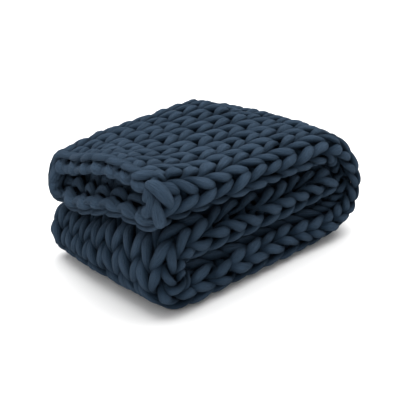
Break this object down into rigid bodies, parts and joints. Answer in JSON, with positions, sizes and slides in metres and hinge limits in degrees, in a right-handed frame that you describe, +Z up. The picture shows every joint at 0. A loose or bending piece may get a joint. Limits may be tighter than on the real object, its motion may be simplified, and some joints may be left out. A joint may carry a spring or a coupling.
{
  "type": "weighted blanket",
  "caption": "Chunky-knit weighted blanket folded into a soft rectangular pile, with an open end at the upper left and its knitted layers showing on every side.",
  "frame": {"origin": "on the surface that the folded blanket rests on, under the middle of its bounding box", "axes": "+X along the folded pile's length, from the open end to the wide wrap; +Y from the crease to the side where the selvedges lie together; +Z up"},
  "size_m": [0.6749, 0.43, 0.3127],
  "materials": {
    "yarn": "matte slate-blue tube yarn"
  },
  "bodies": {
    "root": {"blanket": "yarn"}
  },
  "joints": []
}
